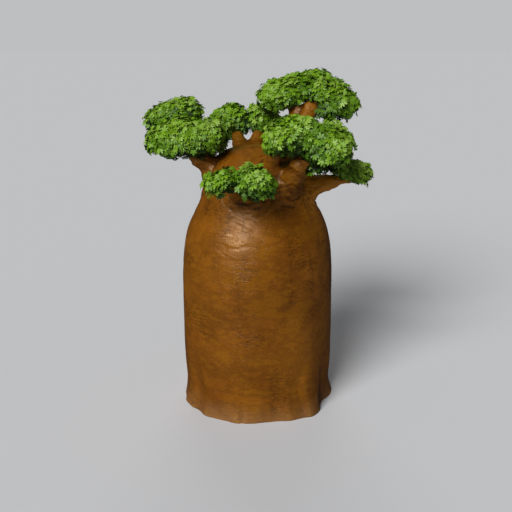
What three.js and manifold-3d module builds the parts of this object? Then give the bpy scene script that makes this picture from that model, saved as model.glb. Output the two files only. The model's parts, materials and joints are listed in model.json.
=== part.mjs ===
// A bottle-trunked baobab about seven metres tall, rooted in level ground.
// Millimetres, +Z up, the front towards -Y. The origin is the centre of the flat cut at ground level.
// The trunk is one solid up to the domed head where it forks. Each bough is one tapering limb that
// starts on the trunk and ends where it enters its mass of foliage. Each mass is one uneven solid.

import * as THREE from "three";
import { mergeVertices } from "three/addons/utils/BufferGeometryUtils.js";
import Module from "manifold-3d";

const wasm = await Module();
wasm.setup();

// ---- Driving dimensions ----
const BELLY_RADIUS = 1640; // trunk radius over its long plain stretch
const FORK_HEIGHT = 5600; // top of the domed head that the boughs leave
const SEAT_GAP = 0.4; // gap left between solids that meet

const BARK = { color: 0x7a4508, roughness: 0.5, metalness: 0 };
const LEAF = { color: 0x4c7a08, roughness: 0.55, metalness: 0 };

// ---- Joining and cutting ----

// A closed geometry as a manifold-3d solid.
function solidOf(geometry) {
  const bare = geometry.clone();
  bare.deleteAttribute("normal");
  bare.deleteAttribute("uv");
  const merged = mergeVertices(bare, 1e-3);
  return new wasm.Manifold(
    new wasm.Mesh({
      numProp: 3,
      vertProperties: merged.getAttribute("position").array,
      triVerts: new Uint32Array(merged.index.array),
    }),
  );
}

// The largest of the pieces that a cut leaves.
function largest(solid) {
  return solid.decompose().reduce((best, piece) => (piece.volume() > best.volume() ? piece : best));
}

function meshOf(name, solid, finish) {
  const made = solid.getMesh();
  const geometry = new THREE.BufferGeometry();
  geometry.setAttribute("position", new THREE.BufferAttribute(new Float32Array(made.vertProperties), 3));
  geometry.setIndex(new THREE.BufferAttribute(new Uint32Array(made.triVerts), 1));
  geometry.computeVertexNormals();
  const mesh = new THREE.Mesh(geometry, new THREE.MeshStandardMaterial(finish));
  mesh.name = name;
  return mesh;
}

// Moves each vertex of a geometry by a rule.
function reshape(geometry, rule) {
  const places = geometry.getAttribute("position");
  const point = new THREE.Vector3();
  for (let i = 0; i < places.count; i++) {
    rule(point.fromBufferAttribute(places, i));
    places.setXYZ(i, point.x, point.y, point.z);
  }
  return geometry;
}

// ---- Trunk ----
// Each station is a share of the fork height and a share of the belly radius. The foot flares, the
// long belly narrows slowly, and the shoulder rolls in to a neck under the domed head.
const TRUNK_STATIONS = [
  [0.0, 1.09],
  [0.02, 1.062],
  [0.055, 1.03],
  [0.11, 1.015],
  [0.26, 1.005],
  [0.46, 0.998],
  [0.57, 0.98],
  [0.65, 0.943],
  [0.715, 0.88],
  [0.765, 0.782],
  [0.8, 0.728],
  [0.86, 0.708],
  [0.91, 0.655],
  [0.955, 0.535],
  [0.985, 0.34],
  [1.0, 0],
];
const TRUNK_SIDES = 32;
const TRUNK_RINGS = 20;
const LOBE_COUNT = 7; // shallow buttress lobes round the foot
const LOBE_DEPTH = 0.022; // as a share of the radius
const LOBE_FADE = 900; // height over which the lobes die away
const OVAL = 0.006; // how far the belly is from round, as a share of its radius

const trunkProfile = new THREE.SplineCurve(
  TRUNK_STATIONS.map(([high, wide]) => new THREE.Vector2(wide * BELLY_RADIUS, high * FORK_HEIGHT)),
);

// How far the wall stands in or out of its profile at a bearing and a height, as a share of its radius.
function fluting(angle, height) {
  const foot = LOBE_DEPTH * Math.exp(-height / LOBE_FADE);
  return foot * Math.cos(LOBE_COUNT * angle + 0.6 * Math.sin(2 * angle)) + OVAL * Math.sin(3 * angle + 0.8);
}

function trunk(grow = 0) {
  const wall = trunkProfile.getSpacedPoints(TRUNK_RINGS).map((p, ring) => {
    const rise = trunkProfile.getTangentAt(ring / TRUNK_RINGS);
    return new THREE.Vector2(p.x + grow * rise.y, p.y - grow * rise.x);
  });
  wall[TRUNK_RINGS].set(0, FORK_HEIGHT + grow);
  const geometry = new THREE.LatheGeometry([new THREE.Vector2(0, 0), ...wall], TRUNK_SIDES);
  geometry.rotateX(Math.PI / 2);
  reshape(geometry, (p) => {
    const share = 1 + fluting(Math.atan2(p.y, p.x), p.z);
    p.set(p.x * share, p.y * share, p.z);
  });
  return solidOf(geometry);
}

// ---- Masses of foliage ----
// A mass is the union of its lobes. Each lobe is an uneven ellipsoid: its centre, its half sizes, its
// turn about Z and its lean, both in degrees, where a positive lean lifts the +X end.
const MASSES = {
  left_foliage: [
    { at: [-1435, -330, 5780], half: [810, 560, 408], turn: -6, lean: 3 },
    { at: [-1775, 480, 6110], half: [645, 590, 335], turn: 8, lean: 11 },
    { at: [-1020, -40, 5610], half: [450, 420, 240], turn: 0, lean: 10 },
  ],
  back_foliage: [
    { at: [-600, 1700, 5830], half: [480, 460, 390], turn: 20, lean: 22 },
    { at: [135, 1670, 5880], half: [420, 440, 350], turn: -15, lean: -28 },
  ],
  top_foliage: [
    { at: [645, 1090, 6530], half: [645, 480, 364], turn: 8, lean: 14 },
    { at: [1610, 1010, 6465], half: [595, 540, 372], turn: -12, lean: -31 },
    { at: [1250, 1150, 6785], half: [345, 380, 255], turn: 0, lean: 4 },
    { at: [1475, 950, 6200], half: [290, 330, 200], turn: 0, lean: -20 },
  ],
  front_right_foliage: [
    { at: [665, -1210, 5965], half: [575, 540, 385], turn: 8, lean: 17 },
    { at: [1300, -1270, 5760], half: [530, 500, 390], turn: -20, lean: -14 },
    { at: [1525, -480, 5790], half: [400, 470, 330], turn: 0, lean: -38 },
    { at: [1190, -850, 5405], half: [450, 440, 225], turn: 0, lean: 4 },
  ],
  right_foliage: [{ at: [1980, -110, 5070], half: [415, 400, 265], turn: 15, lean: -20 }],
  low_front_foliage: [
    { at: [-655, -1840, 5220], half: [315, 320, 245], turn: 20, lean: 14 },
    { at: [-60, -1800, 5200], half: [400, 390, 305], turn: -18, lean: -12 },
  ],
};
const BIG_LOBE = 540; // half length from which a lobe gets the finer skin
const SKIN_CUTS = [3, 4]; // cuts along each icosahedron edge, for a small lobe and for a big one
const FULLNESS = 2.5; // 2 is a plain ellipsoid, more is fuller at the shoulders
const UNEVEN = 0.05; // how far a lobe's skin stands in or out, as a share of its size
const FLAT_UNDER = 0.92; // height of a lobe's under half, as a share of its upper half

// A smooth field of bumps over the directions of a lobe, different for each seed.
function bump(d, seed) {
  return (
    Math.sin(2.3 * d.x + 1.9 * seed) * Math.cos(2.9 * d.y - 1.3 * seed) +
    0.6 * Math.sin(4.1 * d.z + 3.7 * d.x + 0.7 * seed) * Math.cos(3.3 * d.y + 2.1 * seed)
  );
}

function lobe({ at, half, turn, lean }, seed, grow) {
  const geometry = new THREE.IcosahedronGeometry(1, SKIN_CUTS[half[0] < BIG_LOBE ? 0 : 1]);
  const size = new THREE.Vector3(...half);
  reshape(geometry, (p) => {
    const sum = [p.x, p.y, p.z].reduce((total, share) => total + Math.abs(share) ** FULLNESS, 0);
    const skin = (1 + UNEVEN * bump(p, seed)) * sum ** (-1 / FULLNESS);
    const out = p.clone().multiplyScalar(grow);
    p.multiply(size).multiplyScalar(skin).add(out);
    if (p.z < 0) p.z *= FLAT_UNDER;
  });
  geometry.rotateY(-THREE.MathUtils.degToRad(lean));
  geometry.rotateZ(THREE.MathUtils.degToRad(turn));
  geometry.translate(...at);
  return solidOf(geometry);
}

function mass(name, grow = 0) {
  const first = 4 * Object.keys(MASSES).indexOf(name) + 1;
  return MASSES[name].map((one, i) => lobe(one, first + i, grow)).reduce((all, one) => all.add(one));
}

// ---- Boughs ----
// Each starts inside the trunk at its root: a bearing in degrees (0 is +X, 90 is +Y), a share of the
// trunk's radius and a height. It runs towards the heart of a lobe of its mass, moved by a shift, and
// its middle stands off the straight line by a bend. Its radii are those at its root and at its end.
const BOUGHS = {
  left_bough: {
    root: [188, 0.7, 4700], into: ["left_foliage", 0], shift: [110, 40, 0],
    bend: [40, 0, 10], radii: [300, 185],
  },
  back_left_bough: {
    root: [114, 0.45, 5000], into: ["back_foliage", 0], shift: [110, -60, -160],
    bend: [10, -90, -20], radii: [330, 125],
  },
  back_right_bough: {
    root: [100, 0.42, 5000], into: ["back_foliage", 1], shift: [-70, -60, -160],
    bend: [-20, -90, -10], radii: [320, 130],
  },
  top_left_bough: {
    root: [48, 0.45, 5000], into: ["top_foliage", 0], shift: [200, 0, -60],
    bend: [220, 80, 120], radii: [320, 165],
  },
  top_right_bough: {
    root: [38, 0.45, 5000], into: ["top_foliage", 1], shift: [-330, 0, -60],
    bend: [70, 0, 120], radii: [330, 165],
  },
  front_inner_bough: {
    root: [-62, 0.5, 4750], into: ["front_right_foliage", 0], shift: [-250, 60, 0],
    bend: [-50, 0, -60], radii: [260, 140],
  },
  front_outer_bough: {
    root: [-50, 0.6, 4620], into: ["front_right_foliage", 1], shift: [-230, 0, 0],
    bend: [-30, -40, -10], radii: [370, 175],
  },
  right_bough: {
    root: [-3, 0.5, 4600], into: ["right_foliage", 0], shift: [30, 0, -140],
    bend: [0, 0, 15], radii: [490, 105],
  },
  low_left_bough: {
    root: [-110, 0.5, 4620], into: ["low_front_foliage", 0], shift: [40, 0, -30],
    bend: [0, 0, -30], radii: [250, 95],
  },
  low_right_bough: {
    root: [-98, 0.5, 4560], into: ["low_front_foliage", 1], shift: [0, 0, -50],
    bend: [0, 0, -40], radii: [270, 100],
  },
};
const BOUGH_SIDES = 10;
const BOUGH_RINGS = 6;
const FLARE = 1.6; // how soon a limb thins from its root; 1 is an even taper

// The trunk's radius at a height.
function trunkRadius(height) {
  return trunkProfile.getPoints(400).find((p) => p.y >= height).x;
}

// A tapering limb along a curve, closed at both ends.
function limb(curve, [base, tip], grow) {
  const geometry = new THREE.CylinderGeometry(1, 1, 1, BOUGH_SIDES, BOUGH_RINGS);
  const frames = curve.computeFrenetFrames(BOUGH_RINGS, false);
  reshape(geometry, (p) => {
    const along = p.y + 0.5;
    const ring = Math.round(along * BOUGH_RINGS);
    const radius = tip + (base - tip) * (1 - along) ** FLARE + grow;
    const [across, up] = [p.x * radius, p.z * radius];
    p.copy(curve.getPointAt(along));
    p.addScaledVector(frames.normals[ring], up).addScaledVector(frames.binormals[ring], across);
  });
  return solidOf(geometry);
}

function bough({ root, into, shift, bend, radii }, grow = 0) {
  const [bearing, share, height] = root;
  const [massName, lobeIndex] = into;
  const angle = THREE.MathUtils.degToRad(bearing);
  const reach = share * trunkRadius(height);
  const start = new THREE.Vector3(reach * Math.cos(angle), reach * Math.sin(angle), height);
  const end = new THREE.Vector3(...MASSES[massName][lobeIndex].at).add(new THREE.Vector3(...shift));
  const knee = start.clone().lerp(end, 0.5).addScaledVector(new THREE.Vector3(...bend), 2);
  return limb(new THREE.QuadraticBezierCurve3(start, knee, end), radii, grow);
}

// ---- The tree ----
// The trunk and the masses stand clear of one another. Each bough is cut clear of all the solids before
// it, so it stops at the trunk and where it enters its mass.
const tree = new THREE.Group();
const cutters = [];

function add(name, solid, grown, finish) {
  tree.add(meshOf(name, solid, finish));
  cutters.push(grown);
}

add("trunk", trunk(), trunk(SEAT_GAP), BARK);
for (const name of Object.keys(MASSES)) add(name, mass(name), mass(name, SEAT_GAP), LEAF);
for (const [name, facts] of Object.entries(BOUGHS)) {
  const clear = cutters.reduce((left, cutter) => left.subtract(cutter), bough(facts));
  add(name, largest(clear), bough(facts, SEAT_GAP), BARK);
}

export default tree;
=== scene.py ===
import json
import math

import bmesh
import bpy
import numpy as np
from mathutils import Matrix, Vector
from mathutils.bvhtree import BVHTree

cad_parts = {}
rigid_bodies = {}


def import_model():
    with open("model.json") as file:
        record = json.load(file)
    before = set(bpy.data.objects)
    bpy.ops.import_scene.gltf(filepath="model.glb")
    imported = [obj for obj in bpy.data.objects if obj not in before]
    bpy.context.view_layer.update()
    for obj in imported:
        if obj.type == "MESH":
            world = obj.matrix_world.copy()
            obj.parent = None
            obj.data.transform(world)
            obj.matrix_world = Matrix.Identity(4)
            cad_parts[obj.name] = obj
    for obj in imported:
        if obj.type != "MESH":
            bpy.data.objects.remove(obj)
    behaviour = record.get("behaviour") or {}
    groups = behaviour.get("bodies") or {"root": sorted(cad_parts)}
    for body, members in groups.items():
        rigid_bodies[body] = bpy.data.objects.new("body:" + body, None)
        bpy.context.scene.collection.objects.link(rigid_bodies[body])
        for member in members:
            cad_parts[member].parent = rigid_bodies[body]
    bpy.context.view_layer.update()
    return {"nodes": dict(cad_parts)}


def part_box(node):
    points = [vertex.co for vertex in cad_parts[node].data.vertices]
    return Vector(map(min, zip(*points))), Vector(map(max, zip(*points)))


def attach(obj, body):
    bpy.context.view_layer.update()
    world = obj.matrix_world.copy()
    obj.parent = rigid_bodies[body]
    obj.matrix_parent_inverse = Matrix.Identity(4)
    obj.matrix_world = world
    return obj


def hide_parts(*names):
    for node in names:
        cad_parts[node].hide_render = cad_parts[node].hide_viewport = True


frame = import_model()
nodes = frame["nodes"]

# ---- Twig ends ----
# The tree carries its leaves in six separate masses, each on one or two boughs. Every twig ends in a
# spray of leaves, and the sprays crowd together in rounded tufts with darker hollows between them.

BOUGHS_OF = {
    "left_foliage": ["left_bough"],
    "back_foliage": ["back_left_bough", "back_right_bough"],
    "top_foliage": ["top_left_bough", "top_right_bough"],
    "front_right_foliage": ["front_inner_bough", "front_outer_bough"],
    "right_foliage": ["right_bough"],
    "low_front_foliage": ["low_left_bough", "low_right_bough"],
}
SKIN_SAMPLES = 9000  # tries for each square metre of a mass's skin
SPRAY_CELL = 0.097  # edge of the cells that hold one spray each
SPRAY_DEPTH = 0.04  # how far under the skin the outermost twigs end
LEAST_DEPTH = 0.75 * SPRAY_DEPTH
DEEPER = 0.05  # mean further depth of the rest
PROUD = 0.07  # how much further out some tufts stand than others
TUFT = 0.19  # radius of a tuft
TUFTS_APART = 1.75 * TUFT
TUFT_TOP = 0.35  # share of a tuft's radius that is level
TUFT_CURVE = 1.3  # how a tuft falls away beyond its top; 1 is a straight slope
HOLLOW = 0.06  # how much deeper the twigs end between two tufts
UNDERSIDE = -0.45  # the skin is an underside where its way out points further down than this
UNDERSIDE_KEPT = 0.8  # share of the sprays kept on an underside
AROUND = 0.42  # how far off twig ends still shelter one another
CLEFT = 1.5  # a twig end more sheltered than this has died back, which leaves a cleft


def arrays_of(mesh):
    """The corner points and triangles of a mesh."""
    mesh.calc_loop_triangles()
    points = np.empty(len(mesh.vertices) * 3)
    mesh.vertices.foreach_get("co", points)
    faces = np.empty(len(mesh.loop_triangles) * 3, int)
    mesh.loop_triangles.foreach_get("vertices", faces)
    return points.reshape(-1, 3), faces.reshape(-1, 3)


def points_on_skin(points, faces, rng):
    """Points strewn evenly over a mass's skin, and the way out at each."""
    a, b, c = (points[faces[:, i]] for i in range(3))
    cross = np.cross(b - a, c - a)
    area = np.linalg.norm(cross, axis=1) / 2
    tries = int(area.sum() * SKIN_SAMPLES)
    pick = rng.choice(len(faces), tries, p=area / area.sum())
    u, v = rng.random((2, tries, 1))
    flip = u + v > 1
    u, v = np.where(flip, 1 - u, u), np.where(flip, 1 - v, v)
    return a[pick] + u * (b - a)[pick] + v * (c - a)[pick], cross[pick] / (2 * area[pick, None])


def spread(points, gap):
    """The first points that lie at least a gap apart."""
    chosen = []
    left = points
    while len(left):
        chosen.append(left[0])
        left = left[np.linalg.norm(left - left[0], axis=1) > gap]
    return np.array(chosen)


def sheltered(ends, ways_out):
    """How far the twig ends round each one stand out past it, against the mass's own mean."""
    apart = ends[None] - ends[:, None]
    near = np.linalg.norm(apart, axis=2) < AROUND
    proud = np.einsum("ijk,ik->ij", apart, ways_out)
    mean = (proud * near).sum(1) / near.sum(1)
    return (mean - mean.mean()) / mean.std()


def twig_ends(mass, rng):
    """The ends of a mass's twigs, the way out through the skin at each, and how sheltered each is."""
    points, faces = arrays_of(nodes[mass].data)
    place, out = points_on_skin(points, faces, rng)
    tufts = spread(place, TUFTS_APART)
    to_tufts = np.linalg.norm(place[:, None] - tufts[None], axis=2) / TUFT
    hollow = np.clip(to_tufts.min(1) - TUFT_TOP, 0, 1) ** TUFT_CURVE
    set_back = rng.uniform(0, PROUD, len(tufts))[to_tufts.argmin(1)]
    depth = SPRAY_DEPTH + set_back + HOLLOW * hollow + rng.exponential(DEEPER, len(place))
    place -= out * depth[:, None]
    first = np.unique(np.floor(place / SPRAY_CELL).astype(int), axis=0, return_index=True)[1]
    keep = first[(out[first, 2] > UNDERSIDE) | (rng.random(len(first)) < UNDERSIDE_KEPT)]
    skin = BVHTree.FromPolygons(points.tolist(), faces.tolist())
    near = [skin.find_nearest(place[i]) for i in keep]
    clear = np.array([hit[3] for hit in near]) > LEAST_DEPTH
    inside = np.array([(Vector(place[i]) - hit[0]).dot(hit[1]) < 0 for i, hit in zip(keep, near)])
    keep = keep[clear & inside]
    shelter = sheltered(place[keep], out[keep])
    alive = shelter < CLEFT
    return place[keep[alive]], out[keep[alive]], shelter[alive]


# ---- How the boughs branch ----
# Inside its mass a bough forks again and again, each time into a few limbs that part the twig ends
# between them. The limbs of a fork share their parent's thickness by what they carry.

TOUCHING = 1e-5  # points nearer than this are one
HEAD = 0.85  # height of the trunk's head, as a share of the trunk's
END_SHARE = 6  # one in this many of a bough's points is taken as its root, and one in as many as its tip
MEASURED_AT = (0.6, 0.85)  # where along a bough its middle and its radius are measured
TWIG_RADIUS = 0.0042
TWIG_ROOT = 1.5  # a twig's radius at its root, against its usual one
TWIG_TIP = 0.6
THICKENING = 2.25  # a limb's radius goes with the number of its twigs to one over this power
LEAST_TAPER = 0.92  # a limb thins at least this much from one fork to the next
FORKS = 4
LAST_FORK = 6  # a branch with this many twigs or fewer ends in them
ROUNDS = 8  # times the twig ends are dealt out again to their nearest group
REACH = 0.58  # how far towards the middle of its twig ends a limb runs before it forks
LEAD = 0.42  # how long a limb keeps its parent's heading
WANDER = 0.014  # how far a fork lies from its even place
LEADER = 0.62  # how far towards the middle of its twig ends a bough runs on inside its mass
LEADER_ROOT = 0.97  # its radius where it leaves the bough, against the bough's own
LEADER_TIP = 0.7
STOUT = 0.03  # a limb thicker than this gets a smoother bend
TWIG_STEPS = 4  # points along a twig
LIMB_STEPS = 5
STOUT_STEPS = 8
LEADER_STEPS = 9
FIRST_MASS_SEED = 100


def measure(bough):
    """Where a bough's middle runs near its tip, and its radii there."""
    mesh = bmesh.new()
    mesh.from_mesh(nodes[bough].data)
    bmesh.ops.remove_doubles(mesh, verts=mesh.verts, dist=TOUCHING)
    low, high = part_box("trunk")
    heart = (low + high) / 2
    heart.z = high.z * HEAD
    outward = sorted(mesh.verts, key=lambda vert: (vert.co - heart).length)
    ring = len(outward) // END_SHARE
    root = sum((vert.co for vert in outward[:ring]), Vector()) / ring
    tip = sum((vert.co for vert in outward[-ring:]), Vector()) / ring
    middles, radii = [], []
    for share in MEASURED_AT:
        cut = mesh.copy()
        parts = cut.verts[:] + cut.edges[:] + cut.faces[:]
        place = root.lerp(tip, share)
        made = bmesh.ops.bisect_plane(cut, geom=parts, plane_co=place, plane_no=tip - root)["geom_cut"]
        edges = [part for part in made if isinstance(part, bmesh.types.BMEdge)]
        girth = sum(edge.calc_length() for edge in edges)
        halves = [(edge.verts[0].co + edge.verts[1].co) / 2 * edge.calc_length() for edge in edges]
        middles.append(np.array(sum(halves, Vector()) / girth))
        radii.append(girth / math.tau)
        cut.free()
    mesh.free()
    return middles, radii


def dealt(points, count, rng):
    """Deals points into groups of near neighbours."""
    middles = points[rng.choice(len(points), count, replace=False)]
    for _ in range(ROUNDS):
        group = np.linalg.norm(points[:, None] - middles[None], axis=2).argmin(1)
        for i in range(count):
            if (group == i).any():
                middles[i] = points[group == i].mean(0)
    return [np.flatnonzero(group == i) for i in range(count) if (group == i).any()]


def limb_line(start, heading, end, steps):
    """A limb that leaves along its parent's heading and bends to its end."""
    knee = start + heading * np.linalg.norm(end - start) * LEAD
    t = np.linspace(0, 1, steps)[:, None]
    return (1 - t) ** 2 * start + 2 * t * (1 - t) * knee + t**2 * end


def heading_of(line):
    return (line[-1] - line[-2]) / np.linalg.norm(line[-1] - line[-2])


def grow(limbs, start, heading, radius, ends, rng):
    """Forks a limb until each of its twig ends has a twig."""
    if len(ends) <= LAST_FORK:
        for end in ends:
            thick = min(radius, TWIG_RADIUS * TWIG_ROOT)
            limbs.append((limb_line(start, heading, end, TWIG_STEPS), thick, TWIG_RADIUS * TWIG_TIP))
        return
    for group in dealt(ends, min(FORKS, len(ends) // 2), rng):
        mine = ends[group]
        end = start + (mine.mean(0) - start) * REACH + rng.normal(0, WANDER, 3)
        thick = radius * (len(mine) / len(ends)) ** (1 / THICKENING)
        thin = (thick + TWIG_RADIUS * len(mine) ** (1 / THICKENING)) / 2
        line = limb_line(start, heading, end, STOUT_STEPS if thin > STOUT else LIMB_STEPS)
        limbs.append((line, thick, min(thin, thick * LEAST_TAPER)))
        grow(limbs, line[-1], heading_of(line), limbs[-1][2], mine, rng)


limbs_of, twigs_end = {}, {}
for number, (mass, boughs) in enumerate(BOUGHS_OF.items()):
    rng = np.random.default_rng(FIRST_MASS_SEED + number)
    twigs_end[mass] = twig_ends(mass, rng)
    ends = twigs_end[mass][0]
    measured = [measure(bough) for bough in boughs]
    to_bough = [np.linalg.norm(ends - middles[1], axis=1) for middles, _ in measured]
    nearest = np.array(to_bough).argmin(0)
    for i, (bough, (middles, radii)) in enumerate(zip(boughs, measured)):
        mine = ends[nearest == i]
        heading = (middles[1] - middles[0]) / np.linalg.norm(middles[1] - middles[0])
        end = middles[1] + (mine.mean(0) - middles[1]) * LEADER
        line = limb_line(middles[0], heading, end, LEADER_STEPS)
        limbs_of[bough] = [(line, radii[0] * LEADER_ROOT, min(radii) * LEADER_TIP)]
        grow(limbs_of[bough], line[-1], heading_of(line), limbs_of[bough][0][2], mine, rng)

# ---- Bark of the trunk and boughs ----
# One unbroken skin of smooth, thin bark runs from the flat cut at the ground over the belly, the neck
# and the boughs to the thick limbs inside the masses. The trunk, boughs and limbs are fused into one,
# and the skin is creased where boughs leave and wrinkled across the trunk.

SKIN_EDGE = 0.03  # edge of the skin's faces
SKIN_LIMB = 0.06  # limbs thinner than this at their root are branches, made on their own
SKIN_LIMB_SIDES = 16
TRUNK_ROUNDING = 3  # times the trunk's faces are divided and rounded
JOIN_ANGLE = math.radians(60)  # triangles that turn less than this from one to the next become one face
ON_GROUND = 1e-4  # points lower than this are on the ground
BELOW = 0.4  # the foot is made this much too long, then cut flat
GROUND_GAP = 0.0005
SOFTENING = 5  # times the fused skin is smoothed
ROOT_SMOOTHING = 45  # times it is smoothed again at the boughs' roots
HOLLOW_SMOOTHING = 20  # times a copy is smoothed to find what lies in a hollow
BENDING = (0.5, 0.5, 0.9)  # how far a slow noise bends the lines that the marks follow
OFF_AXIS = (0.31, 0.17, 0.93)  # a way that no limb takes
RELIEF = {
    "Root easing": 0.34,  # how far from a bough's root the skin is eased into the trunk
    "Swelling": 0.05,
    "Upright folds": 0.06,
    "Folds everywhere": 0.45,  # share of the folds' height
    "Folds at foot": 0.5,  # further share at the foot
    "Wrinkles": 0.009,
    "Wrinkles at neck": 0.9,
    "Wrinkles in patches": 0.5,
    "Wrinkles on boughs": 0.9,
    "Scars": 0.012,
    "Scar rims": 0.5,  # height of a scar's rim against its eye's depth
    "Knobs": 0.075,
    "Collar creases": 0.015,
    "Crease bends": 0.42,
    "Crease rate": 21.0,  # one crease every pi over this, in metres
    "Root lobes": 0.44,
    "Flutes": 0.11,
    "Neck height": 4.5,
    "Neck reach": 0.8,
}


def tube(line, thick, thin, sides):
    """Points and faces of a closed tapering tube along a line."""
    steps = len(line)
    ahead = np.gradient(line, axis=0)
    ahead /= np.linalg.norm(ahead, axis=1)[:, None]
    side = np.cross(ahead[0], OFF_AXIS)
    angle = np.arange(sides) * math.tau / sides
    rings = []
    for i in range(steps):
        side = side - ahead[i] * side.dot(ahead[i])
        side /= np.linalg.norm(side)
        up = np.cross(ahead[i], side)
        radius = thick + (thin - thick) * i / (steps - 1)
        rings.append(line[i] + radius * (np.cos(angle)[:, None] * side + np.sin(angle)[:, None] * up))
    points = np.concatenate(rings + [line[:1], line[-1:] + ahead[-1:] * thin])
    ring = np.arange(sides)
    after = np.roll(ring, -1)
    faces = []
    for i in range(steps - 1):
        low, high = i * sides, (i + 1) * sides
        faces.append(np.stack([low + ring, low + after, high + after], 1))
        faces.append(np.stack([low + ring, high + after, high + ring], 1))
    last = (steps - 1) * sides
    faces.append(np.stack([np.full(sides, steps * sides), after, ring], 1))
    faces.append(np.stack([np.full(sides, steps * sides + 1), last + ring, last + after], 1))
    return points, np.concatenate(faces)


def joined(parts):
    """Several lists of points and faces as one of each."""
    shifts = np.cumsum([0] + [len(points) for points, _ in parts[:-1]])
    faces = [faces + shift for (_, faces), shift in zip(parts, shifts)]
    return np.concatenate([points for points, _ in parts]), np.concatenate(faces)


def mesh_object(name, points, faces):
    """An object made of triangles, shaded smooth."""
    mesh = bpy.data.meshes.new(name)
    mesh.vertices.add(len(points))
    mesh.vertices.foreach_set("co", np.asarray(points, np.float32).ravel())
    mesh.loops.add(len(faces) * 3)
    mesh.loops.foreach_set("vertex_index", np.asarray(faces, np.int32).ravel())
    mesh.polygons.add(len(faces))
    mesh.polygons.foreach_set("loop_start", np.arange(0, len(faces) * 3, 3, dtype=np.int32))
    mesh.update(calc_edges=True)
    mesh.shade_smooth()
    made = bpy.data.objects.new(name, mesh)
    bpy.context.scene.collection.objects.link(made)
    return made


def settled(made):
    """The object with its modifiers turned into plain mesh."""
    bpy.context.view_layer.update()
    seen = made.evaluated_get(bpy.context.evaluated_depsgraph_get())
    mesh = bpy.data.meshes.new_from_object(seen)
    made.modifiers.clear()
    old = made.data
    made.data = mesh
    bpy.data.meshes.remove(old)
    return made


def node(tree, kind, inputs=None, **settings):
    """A node with its settings, and a value or a link for each input named."""
    made = tree.nodes.new(kind)
    for name, value in settings.items():
        setattr(made, name, value)
    for name, value in (inputs or {}).items():
        if isinstance(value, bpy.types.NodeSocket):
            tree.links.new(value, made.inputs[name])
        else:
            made.inputs[name].default_value = value
    return made


def maths(tree, operation, *values):
    """One sum on values or links."""
    return node(tree, "ShaderNodeMath", dict(enumerate(values)), operation=operation).outputs[0]


def product(tree, first, *others):
    for other in others:
        first = maths(tree, "MULTIPLY", first, other)
    return first


def total(tree, first, *others):
    for other in others:
        first = maths(tree, "ADD", first, other)
    return first


def less(tree, value, taken):
    return maths(tree, "SUBTRACT", value, taken)


def rest(tree, share):
    """What a share leaves of 1."""
    return maths(tree, "SUBTRACT", 1.0, share)


def height_of(tree, place):
    return node(tree, "ShaderNodeSeparateXYZ", {0: place}).outputs["Z"]


def stretched(tree, place, stretch):
    return node(tree, "ShaderNodeVectorMath", {0: place, 1: stretch}, operation="MULTIPLY").outputs[0]


def noise(tree, place, stretch, scale, detail, seed, roughness=0.5):
    """Noise between about -0.5 and 0.5."""
    inputs = {"Vector": stretched(tree, place, stretch), "W": seed, "Scale": scale, "Detail": detail}
    inputs["Roughness"] = roughness
    made = node(tree, "ShaderNodeTexNoise", inputs, noise_dimensions="4D")
    return less(tree, made.outputs[0], 0.5)


def ramp(tree, value, start, end):
    """0 before the start, 1 after the end, and smooth between."""
    inputs = {"Value": value, "From Min": start, "From Max": end}
    return node(tree, "ShaderNodeMapRange", inputs, interpolation_type="SMOOTHSTEP").outputs[0]


def fall(tree, value, start, end):
    """1 before the start, 0 after the end, and smooth between."""
    return rest(tree, ramp(tree, value, start, end))


def bell(tree, value, middle, width):
    """1 at the middle, falling to a tenth one and a half widths away."""
    away = maths(tree, "DIVIDE", less(tree, value, middle), width)
    return maths(tree, "EXPONENT", product(tree, product(tree, away, away), -1.0))


def identifiers(tree):
    """The identifier of each of a tree's inputs, by its name."""
    inputs = (item for item in tree.interface.items_tree if item.in_out == "INPUT")
    return {item.name: item.identifier for item in inputs}


def distance_to(tree, thing):
    """How far the skin is from an object's surface."""
    surface = node(tree, "GeometryNodeObjectInfo", {"Object": thing}).outputs["Geometry"]
    return node(tree, "GeometryNodeProximity", {0: surface}).outputs["Distance"]


def smoothed(tree, place, times, weight=1.0):
    """The skin's places after smoothing it a number of times."""
    inputs = {"Value": place, "Iterations": times, "Weight": weight}
    return node(tree, "GeometryNodeBlurAttribute", inputs, data_type="FLOAT_VECTOR").outputs["Value"]


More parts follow.
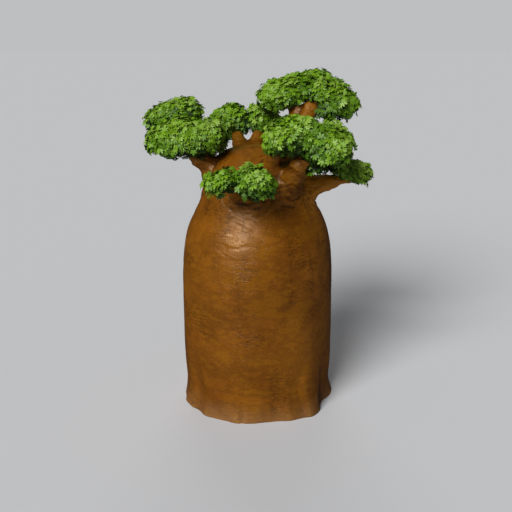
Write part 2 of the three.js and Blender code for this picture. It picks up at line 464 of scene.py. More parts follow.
def skin_marks(tree, given, place, bent, on_bough):
    """The height of the skin's swelling, folds, scars and wrinkles, which lie all over it."""
    height = height_of(tree, place)
    swelling = noise(tree, place, stretch=(1, 1, 0.6), scale=1.0, detail=1.0, seed=1.0)
    swelling = product(tree, swelling, given["Swelling"])
    # The folds run up the trunk, and are deepest at the foot.
    low = product(tree, fall(tree, height, start=0.0, end=1.4), given["Folds at foot"])
    folds = noise(tree, bent, stretch=(1, 1, 0.13), scale=2.1, detail=2.0, seed=2.0)
    folds = product(tree, folds, total(tree, given["Folds everywhere"], low), given["Upright folds"])
    # Scars are shallow eyes with a raised rim, where lost limbs and bruises have healed.
    cells = node(tree, "ShaderNodeTexVoronoi", {"Vector": bent, "Scale": 0.85, "Randomness": 1.0})
    eye = cells.outputs["Distance"]
    rim = product(tree, bell(tree, eye, middle=0.17, width=0.06), given["Scar rims"])
    scars = product(tree, less(tree, rim, bell(tree, eye, middle=0.0, width=0.1)), given["Scars"])
    # Wrinkles are sharp valleys between broad rolls, lying across the trunk.
    valley = noise(tree, bent, stretch=(0.8, 0.8, 5.2), scale=1.25, detail=1.5, seed=3.0)
    valley = fall(tree, maths(tree, "ABSOLUTE", valley), start=0.0, end=0.1)
    patches = noise(tree, place, stretch=(1, 1, 1.5), scale=0.8, detail=1.0, seed=4.0)
    patches = ramp(tree, patches, start=-0.08, end=0.16)
    at_neck = bell(tree, height, given["Neck height"], given["Neck reach"])
    reach = total(
        tree,
        product(tree, at_neck, given["Wrinkles at neck"]),
        product(tree, patches, given["Wrinkles in patches"]),
        product(tree, on_bough, given["Wrinkles on boughs"]),
    )
    wrinkles = product(tree, valley, reach, given["Wrinkles"])
    return less(tree, total(tree, swelling, folds, scars), wrinkles)


def bough_marks(tree, given, place, away, on_bough):
    """The height of the lumps on the boughs, as of healed wood, less the broken creases at their roots."""
    knobs = noise(tree, place, stretch=(1, 1, 1.5), scale=3.2, detail=2.0, seed=13.0)
    knobs = product(tree, knobs, on_bough, given["Knobs"])
    strayed = noise(tree, place, stretch=(1, 1, 1), scale=1.7, detail=3.0, seed=8.0, roughness=0.6)
    strayed = total(tree, away, product(tree, strayed, given["Crease bends"]))
    ring = maths(tree, "COSINE", product(tree, strayed, given["Crease rate"]))
    ring = maths(tree, "ABSOLUTE", ring)
    crease = fall(tree, ring, start=0.0, end=0.9)
    near_root = fall(tree, away, start=0.06, end=0.5)
    return less(tree, knobs, product(tree, crease, near_root, given["Collar creases"]))


def foot_marks(tree, given, place, bent):
    """The height of the foot's broad lobes, where the roots leave, less the flutes between them."""
    height = height_of(tree, place)
    lobes = noise(tree, place, stretch=(1, 1, 0.35), scale=0.85, detail=1.0, seed=9.0)
    lobes = product(tree, lobes, fall(tree, height, start=-0.35, end=1.35), given["Root lobes"])
    flute = noise(tree, bent, stretch=(1, 1, 0.1), scale=1.15, detail=1.0, seed=10.0)
    flute = fall(tree, maths(tree, "ABSOLUTE", flute), start=0.0, end=0.24)
    return less(tree, lobes, product(tree, flute, fall(tree, height, start=0.1, end=1.5), given["Flutes"]))


def relief_tree():
    """Geometry Nodes that ease the bough roots into the trunk and raise the bark's relief."""
    tree = bpy.data.node_groups.new("bark_relief", "GeometryNodeTree")
    tree.is_modifier = True
    face = tree.interface
    face.new_socket("Skin", in_out="INPUT", socket_type="NodeSocketGeometry")
    face.new_socket("Trunk", in_out="INPUT", socket_type="NodeSocketObject")
    face.new_socket("Boughs", in_out="INPUT", socket_type="NodeSocketObject")
    face.new_socket("Bark", in_out="INPUT", socket_type="NodeSocketMaterial")
    for name, value in RELIEF.items():
        face.new_socket(name, in_out="INPUT", socket_type="NodeSocketFloat").default_value = value
    face.new_socket("Skin", in_out="OUTPUT", socket_type="NodeSocketGeometry")
    given = tree.nodes.new("NodeGroupInput").outputs
    place = tree.nodes.new("GeometryNodeInputPosition").outputs[0]
    normal = tree.nodes.new("GeometryNodeInputNormal").outputs[0]

    # The skin is eased where it is near the trunk and a bough at once.
    away = distance_to(tree, given["Boughs"])
    further = maths(tree, "MAXIMUM", distance_to(tree, given["Trunk"]), away)
    at_root = fall(tree, further, start=0.02, end=given["Root easing"])
    eased = smoothed(tree, place, ROOT_SMOOTHING, at_root)
    roots = node(tree, "GeometryNodeSetPosition", {"Geometry": given["Skin"], "Position": eased})

    # The marks follow bent lines, so that none of them runs straight.
    warp = node(tree, "ShaderNodeTexNoise", {"Vector": place, "Scale": 0.9, "Detail": 1.0})
    inputs = {0: warp.outputs["Color"], 1: BENDING, 2: place}
    bent = node(tree, "ShaderNodeVectorMath", inputs, operation="MULTIPLY_ADD").outputs[0]
    on_bough = fall(tree, away, start=0.0, end=0.35)
    raised = total(
        tree,
        skin_marks(tree, given, place, bent, on_bough),
        bough_marks(tree, given, place, away, on_bough),
        foot_marks(tree, given, place, bent),
    )
    lifted = node(tree, "ShaderNodeVectorMath", {0: normal, "Scale": raised}, operation="SCALE").outputs[0]
    carved = node(tree, "GeometryNodeSetPosition", {"Geometry": roots.outputs[0], "Offset": lifted})

    # How far each point is sunk under the skin round it is kept, for the painted shade in the hollows.
    around = smoothed(tree, place, HOLLOW_SMOOTHING)
    inward = node(tree, "ShaderNodeVectorMath", {0: around, 1: place}, operation="SUBTRACT").outputs[0]
    sunk = node(tree, "ShaderNodeVectorMath", {0: inward, 1: normal}, operation="DOT_PRODUCT")
    inputs = {"Geometry": carved.outputs[0], "Name": "hollow", "Value": sunk.outputs["Value"]}
    noted = node(tree, "GeometryNodeStoreNamedAttribute", inputs, domain="POINT")
    whole = node(tree, "GeometryNodeRealizeInstances", {0: noted.outputs[0]})
    inputs = {"Geometry": whole.outputs[0], "Material": given["Bark"]}
    barked = node(tree, "GeometryNodeSetMaterial", inputs)
    tree.links.new(barked.outputs[0], tree.nodes.new("NodeGroupOutput").inputs[0])
    return tree


BARK_COLOURS = {
    "plain": (0.22, 0.07, 0.006, 1),
    "umber": (0.150, 0.046, 0.001, 1),
    "ochre": (0.228, 0.077, 0.002, 1),
    # painted light on the long bough's sunny side
    "painted_light": (0.46, 0.172, 0.006, 1),
    "rain stain": (0.085, 0.027, 0.002, 1),
    "peeled": (0.30, 0.120, 0.006, 1),
    "dark grain": (0.35, 0.33, 0.32, 1),
    "pale grain": (1.6, 1.6, 1.6, 1),
    # painted shade, darkest in the hollows
    "hollow_shade": (0.035, 0.012, 0.003, 1),
    "bleached": (0.34, 0.150, 0.010, 1),
    "dust": (0.20, 0.125, 0.06, 1),
}
GRAIN_SHARE = 0.6  # how strongly each of these colours what is under it
PEELED_SHARE = 0.28
STAIN_SHARE = 0.6
# the painted shade in the hollows
HOLLOW_SHADE_SHARE = 0.7
BLEACHED_SHARE = 0.3
DUST_SHARE = 0.3
SHALLOW, DEEP = 0.002, 0.014  # hollows where the painted shade starts, and where it is darkest
PAINTED_LIGHT_SIDE = 0.3  # how far the painted light lies to the sunny side of the long bough
PAINTED_LIGHT_WIDTH, PAINTED_LIGHT_HEIGHT = 0.42, 0.6
PAINTED_LIGHT_FROM, PAINTED_LIGHT_TO = -0.35, 0.1  # where it comes in, measured from the bough's root
STAIN_HEIGHT = 4.0  # height where the rain stains are strongest, and how far they reach
STAIN_REACH = 1.5
DUST_HEIGHT = 0.5
MOTTLED_DUST = 0.55  # how far the dust's upper edge wanders
MOTTLED_SHADE = 0.0015  # how far the painted shade's edge does, as a depth of hollow
BARK_ROUGHNESS = 0.39
WORN_ROUGHER = 0.25
PEELED_SMOOTHER = 0.08
LAYER_HEIGHT = 0.5  # the grain's heights, against one another
MEAL_HEIGHT = 0.8
WRINKLE_DEPTH = 0.6
PORE_HEIGHT = 0.5
LEAST_WRINKLED = 0.25
MEAL_TONE = 0.9  # how much paler each makes the grain
FLAKE_TONE = 0.22
DARK_TONE = 0.6  # how much darker its wrinkles and pores are


def plain(name, colour, rough):
    """A material of one colour and roughness."""
    material = bpy.data.materials.new(name)
    material.use_nodes = True
    shader = material.node_tree.nodes["Principled BSDF"]
    shader.inputs["Base Color"].default_value = colour
    shader.inputs["Roughness"].default_value = rough
    return material


def mixed(tree, share, first, second, blend="MIX"):
    """Two colours mixed by a share."""
    inputs = {0: share, 6: first, 7: second}
    return node(tree, "ShaderNodeMix", inputs, data_type="RGBA", blend_type=blend).outputs[2]


def shader_group(name, inputs, outputs):
    """An empty shader node group, with its input and output sockets."""
    tree = bpy.data.node_groups.new(name, "ShaderNodeTree")
    kinds = {"value": "NodeSocketFloat", "place": "NodeSocketVector", "colour": "NodeSocketColor"}
    for socket, (kind, value) in inputs.items():
        made = tree.interface.new_socket(socket, in_out="INPUT", socket_type=kinds[kind])
        if value is not None:
            made.default_value = value
    for socket, kind in outputs.items():
        tree.interface.new_socket(socket, in_out="OUTPUT", socket_type=kinds[kind])
    return tree, tree.nodes.new("NodeGroupInput").outputs, tree.nodes.new("NodeGroupOutput").inputs


def bark_grain_group():
    """Thin bark close to: papery layers that peel, corky pores in bands, cross wrinkles, a mealy grain."""
    inputs = {"Place": ("place", None), "Scale": ("value", 1.0)}
    outputs = {"Height": "value", "Tone": "value", "Peeled": "value"}
    tree, given, result = shader_group("bark_grain", inputs, outputs)
    inputs = {0: given["Place"], "Scale": given["Scale"]}
    place = node(tree, "ShaderNodeVectorMath", inputs, operation="SCALE").outputs[0]
    layers = noise(tree, place, stretch=(1, 1, 1.9), scale=1.9, detail=7.0, seed=3.0, roughness=0.62)
    peeled = ramp(tree, layers, start=0.035, end=0.06)
    flaked = ramp(tree, layers, start=-0.045, end=-0.06)
    wrinkle = noise(tree, place, stretch=(1, 1, 4.5), scale=3.4, detail=3.0, seed=5.0, roughness=0.55)
    wrinkle = fall(tree, maths(tree, "ABSOLUTE", wrinkle), start=0.0, end=0.05)
    some = noise(tree, place, stretch=(1, 1, 1), scale=1.3, detail=2.0, seed=11.0)
    some = ramp(tree, some, start=-0.02, end=0.16)
    wrinkle = product(tree, wrinkle, total(tree, LEAST_WRINKLED, some))
    meal = noise(tree, place, stretch=(1, 1, 1.3), scale=24.0, detail=4.0, seed=6.0, roughness=0.65)
    inputs = {"Vector": stretched(tree, place, (1, 1, 3.6)), "Scale": 8.0}
    cells = node(tree, "ShaderNodeTexVoronoi", inputs)
    pore = fall(tree, cells.outputs["Distance"], start=0.08, end=0.2)
    bands = noise(tree, place, stretch=(0.6, 0.6, 2.6), scale=1.6, detail=2.0, seed=12.0)
    pore = product(tree, pore, ramp(tree, bands, start=0.02, end=0.14))
    steps = less(tree, product(tree, flaked, LAYER_HEIGHT), product(tree, peeled, LAYER_HEIGHT))
    rough = less(tree, product(tree, meal, MEAL_HEIGHT), product(tree, wrinkle, WRINKLE_DEPTH))
    height = total(tree, steps, rough, product(tree, pore, PORE_HEIGHT))
    tone = total(tree, product(tree, meal, MEAL_TONE), product(tree, flaked, FLAKE_TONE))
    tone = less(tree, tone, product(tree, total(tree, wrinkle, pore), DARK_TONE))
    tree.links.new(height, result["Height"])
    tree.links.new(tone, result["Tone"])
    tree.links.new(peeled, result["Peeled"])
    return tree


def weathering_and_shade_group():
    """Colour darkened by painted shade in hollows, bleached where it stands proud and dulled by dust at the
    foot.
    """
    inputs = {
        "Colour": ("colour", BARK_COLOURS["plain"]),
        "Place": ("place", None),
        "Hollow": ("value", 0.0),
        "Hollow shade": ("colour", BARK_COLOURS["hollow_shade"]),
        "Bleached": ("colour", BARK_COLOURS["bleached"]),
        "Dust": ("colour", BARK_COLOURS["dust"]),
        "Dust height": ("value", DUST_HEIGHT),
    }
    tree, given, result = shader_group("weathering_and_shade", inputs, {"Colour": "colour", "Wear": "value"})
    place = given["Place"]
    mottle = noise(tree, place, stretch=(1, 1, 1), scale=3.0, detail=4.0, seed=7.0, roughness=0.6)
    sunk = total(tree, given["Hollow"], product(tree, mottle, MOTTLED_SHADE))
    # Painted shade darkens the bark in its hollows.
    shade_in_hollows = product(tree, ramp(tree, sunk, SHALLOW, DEEP), HOLLOW_SHADE_SHARE)
    proud = product(tree, ramp(tree, sunk, -SHALLOW, -DEEP), BLEACHED_SHARE)
    edge = total(tree, height_of(tree, place), product(tree, mottle, MOTTLED_DUST))
    foot = fall(tree, edge, start=-0.1, end=given["Dust height"])
    colour = mixed(tree, shade_in_hollows, given["Colour"], given["Hollow shade"])
    colour = mixed(tree, proud, colour, given["Bleached"])
    colour = mixed(tree, product(tree, foot, DUST_SHARE), colour, given["Dust"])
    tree.links.new(colour, result["Colour"])
    tree.links.new(total(tree, proud, foot), result["Wear"])
    return tree


bark_grain, weathering_and_shade = bark_grain_group(), weathering_and_shade_group()


def young_bark(tree, place):
    """Where painted light falls on the long bough: its sunny side is painted paler, against the shadow that
    the masses above cast on it.
    """
    root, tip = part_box("right_bough")
    middle = (root + tip) / 2
    across, back, height = node(tree, "ShaderNodeSeparateXYZ", {0: place}).outputs
    sunny = bell(tree, back, middle.y - PAINTED_LIGHT_SIDE, PAINTED_LIGHT_WIDTH)
    level = bell(tree, height, middle.z, PAINTED_LIGHT_HEIGHT)
    return product(tree, sunny, level, ramp(tree, across, root.x + PAINTED_LIGHT_FROM, root.x + PAINTED_LIGHT_TO))


def bark_material():
    """Satin red-brown bark in ochre and umber patches, rain-stained under the boughs and peeling in places,
    with painted shade in its hollows and painted light on the long bough's sunny side.
    """
    material = plain("bark", BARK_COLOURS["plain"], BARK_ROUGHNESS)
    tree = material.node_tree
    shader = tree.nodes["Principled BSDF"]
    shader.inputs["Specular IOR Level"].default_value = 0.66
    shader.inputs["Specular Tint"].default_value = (1.0, 0.68, 0.42, 1)
    place = tree.nodes.new("ShaderNodeTexCoord").outputs["Object"]
    hollow = node(tree, "ShaderNodeAttribute", attribute_name="hollow").outputs["Fac"]
    patches = noise(tree, place, stretch=(1, 1, 0.7), scale=0.75, detail=4.0, seed=1.0, roughness=0.6)
    patches = ramp(tree, patches, start=-0.16, end=0.16)
    colour = mixed(tree, patches, BARK_COLOURS["umber"], BARK_COLOURS["ochre"])
    # Painted light pales the sunny side of the long bough; old is the rest of the bark, where the stains and
    # the painted shade in the hollows fall.
    painted_light = young_bark(tree, place)
    old = rest(tree, painted_light)
    colour = mixed(tree, painted_light, colour, BARK_COLOURS["painted_light"])
    stain = noise(tree, place, stretch=(1, 1, 0.1), scale=4.2, detail=4.0, seed=2.0, roughness=0.6)
    stain = ramp(tree, stain, start=0.02, end=0.2)
    under = product(tree, bell(tree, height_of(tree, place), STAIN_HEIGHT, STAIN_REACH), old)
    stain = product(tree, stain, under, STAIN_SHARE)
    colour = mixed(tree, stain, colour, BARK_COLOURS["rain stain"])
    grain = node(tree, "ShaderNodeGroup", {"Place": place}, node_tree=bark_grain)
    peeled = grain.outputs["Peeled"]
    colour = mixed(tree, product(tree, peeled, PEELED_SHARE), colour, BARK_COLOURS["peeled"])
    tone = ramp(tree, grain.outputs["Tone"], start=-0.7, end=0.7)
    tone = mixed(tree, tone, BARK_COLOURS["dark grain"], BARK_COLOURS["pale grain"])
    colour = mixed(tree, GRAIN_SHARE, colour, tone, "MULTIPLY")
    # The hollows get painted shade, except under the painted light.
    inputs = {"Colour": colour, "Place": place, "Hollow": product(tree, hollow, old)}
    weathered_and_shaded = node(tree, "ShaderNodeGroup", inputs, node_tree=weathering_and_shade)
    tree.links.new(weathered_and_shaded.outputs["Colour"], shader.inputs["Base Color"])
    dull = total(tree, product(tree, weathered_and_shaded.outputs["Wear"], WORN_ROUGHER), BARK_ROUGHNESS)
    dull = less(tree, dull, product(tree, peeled, PEELED_SMOOTHER))
    tree.links.new(dull, shader.inputs["Roughness"])
    inputs = {"Height": grain.outputs["Height"], "Strength": 0.45, "Distance": 0.009}
    tree.links.new(node(tree, "ShaderNodeBump", inputs).outputs[0], shader.inputs["Normal"])
    return material


def smooth_trunk():
    """The trunk's own smooth shape, from the CAD's faceted one, and a stretch below the ground."""
    smooth = bmesh.new()
    smooth.from_mesh(nodes["trunk"].data)
    bmesh.ops.remove_doubles(smooth, verts=smooth.verts, dist=TOUCHING)
    turns = {"angle_face_threshold": JOIN_ANGLE, "angle_shape_threshold": JOIN_ANGLE}
    bmesh.ops.join_triangles(smooth, faces=smooth.faces, **turns)
    sharp = smooth.edges.layers.float.new("crease_edge")
    for edge in smooth.edges:
        edge[sharp] = all(vert.co.z < ON_GROUND for vert in edge.verts)
    form = bpy.data.objects.new("trunk_form", bpy.data.meshes.new("trunk_form"))
    smooth.to_mesh(form.data)
    smooth.free()
    bpy.context.scene.collection.objects.link(form)
    rounding = form.modifiers.new("rounding", "SUBSURF")
    rounding.levels = rounding.render_levels = TRUNK_ROUNDING
    settled(form)
    for vert in form.data.vertices:
        if vert.co.z < ON_GROUND:
            vert.co.z -= BELOW
    return form


trunk_form = smooth_trunk()
bough_parts = {}
for bough, limbs in limbs_of.items():
    skinned = [limb for limb in limbs if limb[1] >= SKIN_LIMB]
    tubes = [tube(*limb, SKIN_LIMB_SIDES) for limb in skinned]
    bough_parts[bough] = joined([arrays_of(nodes[bough].data)] + tubes)
bough_form = mesh_object("bough_form", *joined(list(bough_parts.values())))

bark = mesh_object("bark", *joined([arrays_of(trunk_form.data)] + list(bough_parts.values())))
fuse = bark.modifiers.new("fuse", "REMESH")
fuse.mode = "VOXEL"
fuse.voxel_size = SKIN_EDGE
soften = bark.modifiers.new("soften", "SMOOTH")
soften.factor = 0.5
soften.iterations = SOFTENING
relief = bark.modifiers.new("relief", "NODES")
relief.node_group = relief_tree()
sockets = identifiers(relief.node_group)
relief[sockets["Trunk"]] = trunk_form
relief[sockets["Boughs"]] = bough_form
relief[sockets["Bark"]] = bark_material()
settled(bark)
bpy.data.objects.remove(trunk_form)
bpy.data.objects.remove(bough_form)

# The skin is cut flat at the ground, and the cut is closed.
cut = bmesh.new()
cut.from_mesh(bark.data)
whole = cut.verts[:] + cut.edges[:] + cut.faces[:]
ground = {"plane_co": (0, 0, GROUND_GAP), "plane_no": (0, 0, 1)}
above = bmesh.ops.bisect_plane(cut, geom=whole, clear_inner=True, **ground)
rim = [part for part in above["geom_cut"] if isinstance(part, bmesh.types.BMEdge)]
bmesh.ops.edgeloop_fill(cut, edges=rim)
bmesh.ops.triangulate(cut, faces=cut.faces)
cut.to_mesh(bark.data)
cut.free()
bark.data.shade_smooth()
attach(bark, "root")
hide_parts("trunk", *bough_parts)

# ---- Branches and twigs ----
# The thin branches and twigs inside each mass carry the sprays. Their bark is younger, thinner and
# greyer than the trunk's. Each is a tapering tube that starts inside its parent's tip.

SIDES = ((0.008, 3), (0.02, 5), (SKIN_LIMB, 8))  # sides of a limb that is thinner than each radius
TWIG_COLOURS = {
    "plain": (0.13, 0.06, 0.02, 1),
    "dark": (0.055, 0.027, 0.010, 1),
    "pale": (0.20, 0.115, 0.055, 1),
}
TWIG_ROUGHNESS = 0.6
TWIG_GRAIN = 2.5  # how much finer the grain is than the trunk's


def twig_material():
    """Dull grey-brown bark, with the trunk's grain on a finer scale."""
    material = plain("young_bark", TWIG_COLOURS["plain"], TWIG_ROUGHNESS)
    tree = material.node_tree
    shader = tree.nodes["Principled BSDF"]
    place = tree.nodes.new("ShaderNodeTexCoord").outputs["Object"]
    grain = node(tree, "ShaderNodeGroup", {"Place": place, "Scale": TWIG_GRAIN}, node_tree=bark_grain)
    tone = ramp(tree, grain.outputs["Tone"], start=-0.5, end=1.0)
    colour = mixed(tree, tone, TWIG_COLOURS["dark"], TWIG_COLOURS["pale"])
    weathered_and_shaded = node(tree, "ShaderNodeGroup", {"Colour": colour, "Place": place}, node_tree=weathering_and_shade)
    tree.links.new(weathered_and_shaded.outputs["Colour"], shader.inputs["Base Color"])
    inputs = {"Height": grain.outputs["Height"], "Strength": 0.4, "Distance": 0.003}
    tree.links.new(node(tree, "ShaderNodeBump", inputs).outputs[0], shader.inputs["Normal"])
    return material


twig_finish = twig_material()
for mass, boughs in BOUGHS_OF.items():
    tubes = []
    for line, thick, thin in (limb for bough in boughs for limb in limbs_of[bough]):
        if thick < SKIN_LIMB:
            tubes.append(tube(line, thick, thin, next(sides for most, sides in SIDES if thick < most)))
    twigs = mesh_object(mass.replace("foliage", "twigs"), *joined(tubes))
    twigs.data.materials.append(twig_finish)
    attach(twigs, "root")
    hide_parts(mass)

# ---- Leaves ----
# Each twig ends in a spray of stalked, hand-shaped leaves of five blunt leaflets, that turn their
# faces to the light. The leaves are deep green, painted paler where a spray faces the light and darker
# where it is sheltered or on an underside, as painted light and shade.

LEAFLET = 0.104  # length of a middle leaflet
LEAFLETS = ((-80, 0.68), (-40, 0.9), (0, 1.0), (40, 0.9), (80, 0.68))  # angle and size of each
LEAFLETS_VARY = (0.88, 1.12)  # least and greatest size, against the usual
LEAFLETS_STRAY = 7  # most that a leaflet is off its even angle, in degrees
LEAFLET_OUTLINE = (
    (0.03, 0.0, 0.0),
    (0.42, -0.17, 0.05),
    (0.74, -0.19, 0.05),
    (1.0, 0.0, 0.0),
    (0.74, 0.19, 0.05),
    (0.42, 0.17, 0.05),
)
LEAFLET_MIDDLE = (0.6, 0.0, -0.01)
DROOP = (0.10, 0.42)  # least and greatest sag of a leaflet's tip, as a share of its length
STALK = 0.078
STALK_WIDTH = 0.0045
STALKS_VARY = (0.7, 1.3)
LEVELLING = 0.35  # how far a blade turns back towards level, as a share of its stalk's rise
LEANING = 0.3  # most that a blade leans to one side, in radians
LEAVES = 6  # in a spray
LEAVES_VARY = (0.8, 1.12)
LEAVES_STRAY = 0.3  # most that a leaf is off its even turn round the twig, in radians
LEAF_TURN = math.radians(137.5)  # from one leaf to the next round the twig
LOWEST_RISE = -8  # how steeply the lowest stalk rises, in degrees
RISE_GAINED = 70  # from the lowest stalk to the highest
RISE_STRAYS = 9
SPRAY_STEM = 0.035  # length of twig that a spray's leaves leave from
SPRAY_KINDS = 8
SPRAYS_VARY = (0.82, 1.1)
SPRAYS_STRAY = 0.22  # how far a spray faces away from its even way
MOST_SPRAYS = 1000  # sprays in one piece
LIGHT_FROM = (-0.25, -0.25, 1.0)
SKYWARD = 0.4  # how far a spray turns from its way out to the light
BETWEEN = 0.55  # how much darker painted shade makes a sheltered spray
UNDER = 0.9  # how much darker painted shade makes a spray on the underside
LIGHT_STRAYS = 0.28
PAINTED_LIGHTER = {"right_foliage": 0.55}  # painted light: this mass gets paler greens, against the shadow that the other masses cast on it
# Lit and shaded copies of one leaf green, from the deepest painted shade to the palest painted highlight
GREENS = {
    "leaf_shade": (0.015, 0.045, 0.001, 1),
    "leaf_deep": (0.056, 0.140, 0.002, 1),
    "leaf_green": (0.105, 0.235, 0.003, 1),
    "leaf_bright": (0.175, 0.340, 0.007, 1),
    "leaf_young": (0.250, 0.410, 0.045, 1),
}
GREENS_CHANGE = (-0.3, 0.3, 0.95, 1.5)  # the light at which each green gives way to the next
LEAF_ROUGHNESS = 0.48
LEAVES_SEED = 7

to_light = np.array(LIGHT_FROM) / np.linalg.norm(LIGHT_FROM)


def leaf(rng, size, rise):
    """One leaf in its own frame: the stalk leaves along +X, rising, and the blade faces up."""
    stalk = STALK * size * rng.uniform(*STALKS_VARY)
    knee = stalk * np.array((math.cos(rise), 0, math.sin(rise)))
    points = [np.array([(0, -STALK_WIDTH / 2, 0), (0, STALK_WIDTH / 2, 0), knee])]
    faces = [np.array([(0, 2, 1)])]
    droop = rng.uniform(*DROOP)
    form = np.array(LEAFLET_OUTLINE + (LEAFLET_MIDDLE,))
    rim = np.arange(len(LEAFLET_OUTLINE))
    fan = np.stack([np.full(len(rim), len(rim)), rim, np.roll(rim, -1)], 1)
    lean = Matrix.Rotation(rng.uniform(-LEANING, LEANING), 3, "X")
    tilt = Matrix.Rotation(-rise * LEVELLING, 3, "Y") @ lean
    for angle, share in LEAFLETS:
        length = LEAFLET * size * share * rng.uniform(*LEAFLETS_VARY)
        leaflet = form * length
        leaflet[:, 2] -= droop * form[:, 0] ** 2 * length
        strayed = angle + rng.uniform(-LEAFLETS_STRAY, LEAFLETS_STRAY)
        turn = Matrix.Rotation(math.radians(strayed), 3, "Z")
        faces.append(fan + len(points[0]) + (len(points) - 1) * len(form))
        points.append(knee + leaflet @ np.array(tilt @ turn).T)
    return np.concatenate(points), np.concatenate(faces)


def spray_mesh(name, rng):
    """A spray of leaves round the end of a twig that points along +Z."""
    leaves = []
    for i in range(LEAVES):
        even_rise = LOWEST_RISE + RISE_GAINED * i / (LEAVES - 1)
        rise = math.radians(even_rise + rng.uniform(-RISE_STRAYS, RISE_STRAYS))
        points, faces = leaf(rng, rng.uniform(*LEAVES_VARY), rise)
        turn = Matrix.Rotation(i * LEAF_TURN + rng.uniform(-LEAVES_STRAY, LEAVES_STRAY), 3, "Z")
        points = points @ np.array(turn).T
        points[:, 2] -= SPRAY_STEM * (LEAVES - 1 - i) / (LEAVES - 1)
        leaves.append((points, faces))
    return mesh_object(name, *joined(leaves))


def fact(tree, name, kind):
    """What the points hold under a name."""
    return node(tree, "GeometryNodeInputNamedAttribute", {"Name": name}, data_type=kind).outputs["Attribute"]


def spray_tree(greens):
    """Geometry Nodes that set a spray on each twig end, as the end's own attributes say."""
    tree = bpy.data.node_groups.new("leaf_sprays", "GeometryNodeTree")
    tree.is_modifier = True
    face = tree.interface
    face.new_socket("Twig ends", in_out="INPUT", socket_type="NodeSocketGeometry")
    face.new_socket("Sprays", in_out="INPUT", socket_type="NodeSocketCollection")
    face.new_socket("Size", in_out="INPUT", socket_type="NodeSocketFloat").default_value = 1.0
    for name in greens:
        face.new_socket(name, in_out="INPUT", socket_type="NodeSocketMaterial")
    face.new_socket("Leaves", in_out="OUTPUT", socket_type="NodeSocketGeometry")
    given = tree.nodes.new("NodeGroupInput").outputs
    inputs = {"Collection": given["Sprays"], "Separate Children": True}
    kinds = node(tree, "GeometryNodeCollectionInfo", inputs)
    inputs = {
        "Points": given["Twig ends"],
        "Instance": kinds.outputs[0],
        "Pick Instance": True,
        "Instance Index": fact(tree, "kind", "INT"),
        "Rotation": fact(tree, "turn", "QUATERNION"),
        "Scale": product(tree, fact(tree, "size", "FLOAT"), given["Size"]),
    }
    placed = node(tree, "GeometryNodeInstanceOnPoints", inputs)
    leaves = node(tree, "GeometryNodeRealizeInstances", {0: placed.outputs[0]}).outputs[0]
    green = fact(tree, "green", "INT")
    for i, name in enumerate(greens):
        same = node(tree, "FunctionNodeCompare", {2: green, 3: i}, data_type="INT", operation="EQUAL")
        inputs = {"Geometry": leaves, "Selection": same.outputs[0], "Material": given[name]}
        leaves = node(tree, "GeometryNodeSetMaterial", inputs).outputs[0]
    tree.links.new(leaves, tree.nodes.new("NodeGroupOutput").inputs[0])
    return tree


def spray_facts(mass, rng):
    """How each of a mass's sprays is turned, its size, which kind it is and which green its painted light
    gives it.
    """
    ends, ways_out, shelter = twigs_end[mass]
    count = len(ends)
    facing = ways_out + SKYWARD * to_light + rng.normal(0, SPRAYS_STRAY, (count, 3))
    facing /= np.linalg.norm(facing, axis=1)[:, None]
    turns = []
    for way, spin in zip(facing, rng.uniform(0, math.tau, count)):
        spun = Matrix.Rotation(spin, 3, "Z").to_quaternion()
        turns.append(tuple(Vector(way).to_track_quat("Z", "Y") @ spun))
    sizes = rng.uniform(*SPRAYS_VARY, count)
    kinds = rng.integers(0, SPRAY_KINDS, count)
    strays = rng.normal(0, LIGHT_STRAYS, count)
    # Painted light: a spray facing the light gets a paler green; painted shade darkens sheltered sprays and
    # those on an underside.
    light = facing @ to_light - BETWEEN * shelter + strays + PAINTED_LIGHTER.get(mass, 0)
    light -= UNDER * np.clip(-ways_out[:, 2], 0, 1)
    return {
        "turn": ("QUATERNION", np.array(turns, np.float32)),
        "size": ("FLOAT", sizes.astype(np.float32)),
        "kind": ("INT", kinds.astype(np.int32)),
        "green": ("INT", np.digitize(light, GREENS_CHANGE).astype(np.int32)),
    }


def spray_points(name, ends, facts, mine):
    """An object with a point at each of some twig ends, which holds its spray's facts."""
    points = bpy.data.meshes.new(name)
    points.vertices.add(len(mine))
    points.vertices.foreach_set("co", ends[mine].astype(np.float32).ravel())
    for label, (kind, values) in facts.items():
        points.attributes.new(label, kind, "POINT").data.foreach_set("value", values[mine].ravel())
    made = bpy.data.objects.new(name, points)
    bpy.context.scene.collection.objects.link(made)
    return made


rng = np.random.default_rng(LEAVES_SEED)
greens = {name: plain(name, colour, LEAF_ROUGHNESS) for name, colour in GREENS.items()}
spray_box = bpy.data.collections.new("spray_kinds")
for i in range(SPRAY_KINDS):
    spray = spray_mesh(f"spray_{i}", rng)
    spray.data.materials.append(greens["leaf_shade"])
    bpy.context.scene.collection.objects.unlink(spray)
    spray_box.objects.link(spray)
tree = spray_tree(greens)
sockets = identifiers(tree)
for mass, (ends, _, _) in twigs_end.items():
    facts = spray_facts(mass, rng)
    pieces = math.ceil(len(ends) / MOST_SPRAYS)
    for number, mine in enumerate(np.array_split(np.argsort(ends[:, 0]), pieces)):
        name = mass.replace("foliage", "leaves") + (f"_{number + 1}" if pieces > 1 else "")
        leaves = spray_points(name, ends, facts, mine)
        modifier = leaves.modifiers.new("sprays", "NODES")
        modifier.node_group = tree
        modifier[sockets["Sprays"]] = spray_box
        for green, material in greens.items():
            modifier[sockets[green]] = material
        settled(leaves)
        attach(leaves, "root")
        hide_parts(mass)
for spray in list(spray_box.objects):
    bpy.data.objects.remove(spray)
bpy.data.collections.remove(spray_box)

# ---- Floor, light and camera ----
# The tree stands on a plain pale floor that runs on into a plain pale backdrop. One broad soft light
# comes from the upper left, a much weaker one from behind, and a weak even fill from all round.

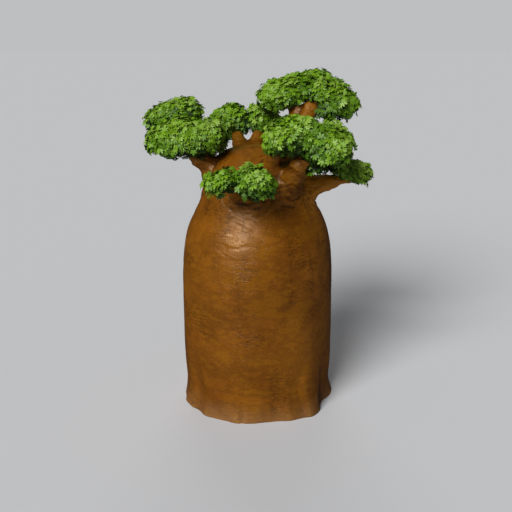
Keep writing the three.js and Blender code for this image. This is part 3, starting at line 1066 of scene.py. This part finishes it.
FLOOR_LEFT, FLOOR_RIGHT = -90, 90
FLOOR_NEAR, FLOOR_FAR = -60, 160
FLOOR_PAINT = (0.660, 0.665, 0.676, 1)
FLOOR_ROUGHNESS = 0.9
BACKDROP = (0.515, 0.521, 0.533, 1)
FILL = 0.1  # strength of the even fill
FILL_COLOUR = (0.92, 0.96, 1.0, 1)
FILL_UNSEEN = 0.8  # share of the fill that makes no reflections
LIGHTS = (  # name, strength, spread in degrees and the way it shines
    ("key", 3.2, 32, (0.42, 0.69, -0.59)),
    ("back", 0.6, 40, (0.05, -0.85, -0.5)),
)
ELEVATION = math.radians(18.64)  # how steeply the camera looks down
DISTANCE = 15.45  # from the camera to its aim
AIM = Vector((-0.022, 0, 3.166))
LENS = 50
FURTHEST_SEEN = 400

corners = [
    (FLOOR_LEFT, FLOOR_NEAR, 0),
    (FLOOR_RIGHT, FLOOR_NEAR, 0),
    (FLOOR_RIGHT, FLOOR_FAR, 0),
    (FLOOR_LEFT, FLOOR_FAR, 0),
]
floor = mesh_object("floor", corners, [(0, 1, 2), (0, 2, 3)])
floor_paint = plain("floor_paint", FLOOR_PAINT, FLOOR_ROUGHNESS)
floor_paint.node_tree.nodes["Principled BSDF"].inputs["Specular IOR Level"].default_value = 0.0
floor.data.materials.append(floor_paint)
floor.visible_glossy = False

world = bpy.data.worlds.new("studio")
bpy.context.scene.world = world
world.use_nodes = True
tree = world.node_tree
fill = tree.nodes["Background"]
fill.inputs["Color"].default_value = FILL_COLOUR
rays = tree.nodes.new("ShaderNodeLightPath").outputs
seen = total(tree, product(tree, rays["Is Glossy Ray"], -FILL_UNSEEN), 1.0)
tree.links.new(product(tree, seen, FILL), fill.inputs["Strength"])
backdrop = node(tree, "ShaderNodeBackground", {"Color": BACKDROP})
inputs = {0: rays["Is Camera Ray"], 1: fill.outputs[0], 2: backdrop.outputs[0]}
either = node(tree, "ShaderNodeMixShader", inputs)
tree.links.new(either.outputs[0], tree.nodes["World Output"].inputs["Surface"])

for name, strength, softness, way in LIGHTS:
    light = bpy.data.objects.new(name, bpy.data.lights.new(name, "SUN"))
    light.data.energy = strength
    light.data.angle = math.radians(softness)
    light.rotation_euler = Vector(way).to_track_quat("-Z", "Y").to_euler()
    light.visible_glossy = name == "key"
    bpy.context.scene.collection.objects.link(light)

camera = bpy.data.objects.new("camera", bpy.data.cameras.new("camera"))
camera.data.lens = LENS
camera.data.clip_end = FURTHEST_SEEN
camera.location = AIM + DISTANCE * Vector((0, -math.cos(ELEVATION), math.sin(ELEVATION)))
camera.rotation_euler = (AIM - camera.location).to_track_quat("-Z", "Y").to_euler()
bpy.context.scene.collection.objects.link(camera)
bpy.context.scene.camera = camera
bpy.context.scene.view_settings.view_transform = "Standard"
